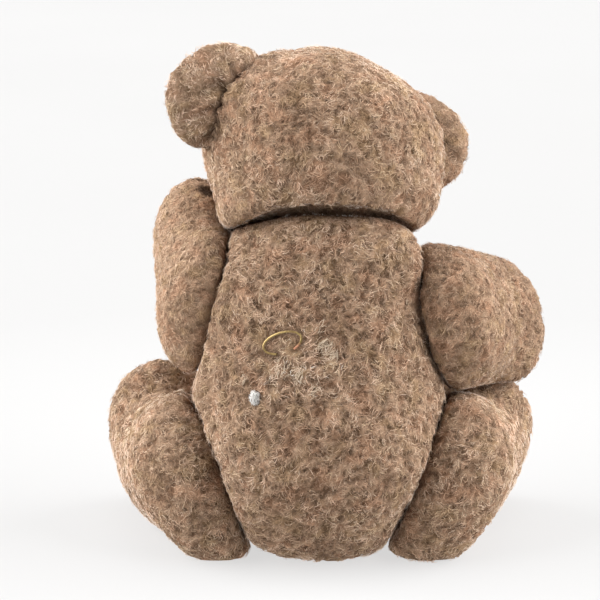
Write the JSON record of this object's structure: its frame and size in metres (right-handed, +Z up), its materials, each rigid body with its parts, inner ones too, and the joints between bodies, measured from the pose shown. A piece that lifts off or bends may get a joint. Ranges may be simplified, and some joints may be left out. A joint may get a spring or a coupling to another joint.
{
  "type": "teddy bear",
  "caption": "Jointed teddy bear of worn wool plush, sitting, with dark cloth pads and a wire loop on its back.",
  "frame": {"origin": "on the flat seat under the torso, on the surface the bear sits on", "axes": "+Z up; -Y is the way the bear faces, so its left side is +X"},
  "size_m": [0.158, 0.109, 0.1759],
  "materials": {
    "wool_plush": "short matted wool plush, taupe brown, worn thin in places",
    "pad_cloth": "dark brown coated cloth, rubbed grey and crazed",
    "boot_button": "black lacquered button, scuffed",
    "dark_thread": "dark brown stitched thread",
    "white_thread": "off-white cotton thread, frayed",
    "hardboard": "raw brown hardboard",
    "steel": "plain steel, dull",
    "brass": "thin brass wire, tarnished"
  },
  "bodies": {
    "torso": {"torso": "wool_plush", "white_thread_tuft": "white_thread", "wire_loop": "brass", "neck_torso_disc": "hardboard", "neck_torso_washer": "steel", "shoulder_left_torso_disc": "hardboard", "shoulder_left_torso_washer": "steel", "shoulder_right_torso_disc": "hardboard", "shoulder_right_torso_washer": "steel", "hip_left_torso_disc": "hardboard", "hip_left_torso_washer": "steel", "hip_right_torso_disc": "hardboard", "hip_right_torso_washer": "steel"},
    "head": {"head": "wool_plush", "ear_left": "wool_plush", "ear_right": "wool_plush", "eye_left": "boot_button", "eye_right": "boot_button", "nose": "dark_thread", "mouth_stitch_upper": "dark_thread", "mouth_stitch_lower": "dark_thread", "neck_limb_disc": "hardboard", "neck_limb_washer": "steel", "neck_split_pin": "steel"},
    "arm_left": {"arm_left": "wool_plush", "paw_pad_left": "pad_cloth", "shoulder_left_limb_disc": "hardboard", "shoulder_left_limb_washer": "steel", "shoulder_left_split_pin": "steel"},
    "arm_right": {"arm_right": "wool_plush", "paw_pad_right": "pad_cloth", "shoulder_right_limb_disc": "hardboard", "shoulder_right_limb_washer": "steel", "shoulder_right_split_pin": "steel"},
    "leg_left": {"leg_left": "wool_plush", "sole_pad_left": "pad_cloth", "hip_left_limb_disc": "hardboard", "hip_left_limb_washer": "steel", "hip_left_split_pin": "steel"},
    "leg_right": {"leg_right": "wool_plush", "sole_pad_right": "pad_cloth", "hip_right_limb_disc": "hardboard", "hip_right_limb_washer": "steel", "hip_right_split_pin": "steel"}
  },
  "joints": [
    {"name": "neck", "type": "hinge", "parent": "torso", "child": "head", "pos_m": [-0.003, -0.02, 0.11], "axis": [0, -0.454, 0.891], "range_deg": [-4, 100]},
    {"name": "shoulder_left", "type": "hinge", "parent": "torso", "child": "arm_left", "pos_m": [0.037, -0.01378, 0.08388], "axis": [-0.9762, -0.0443, -0.2122], "range_deg": [-40, 1]},
    {"name": "shoulder_right", "type": "hinge", "parent": "torso", "child": "arm_right", "pos_m": [-0.037, -0.01378, 0.08388], "axis": [-0.9762, 0.0443, 0.2122], "range_deg": [0, 65]},
    {"name": "hip_left", "type": "hinge", "parent": "torso", "child": "leg_left", "pos_m": [0.035, -0.0037, 0.02676], "axis": [-0.9355, -0.1765, 0.306], "range_deg": [-95, 22]},
    {"name": "hip_right", "type": "hinge", "parent": "torso", "child": "leg_right", "pos_m": [-0.035, -0.0037, 0.02676], "axis": [-0.9355, 0.1765, -0.306], "range_deg": [-95, 0]}
  ]
}
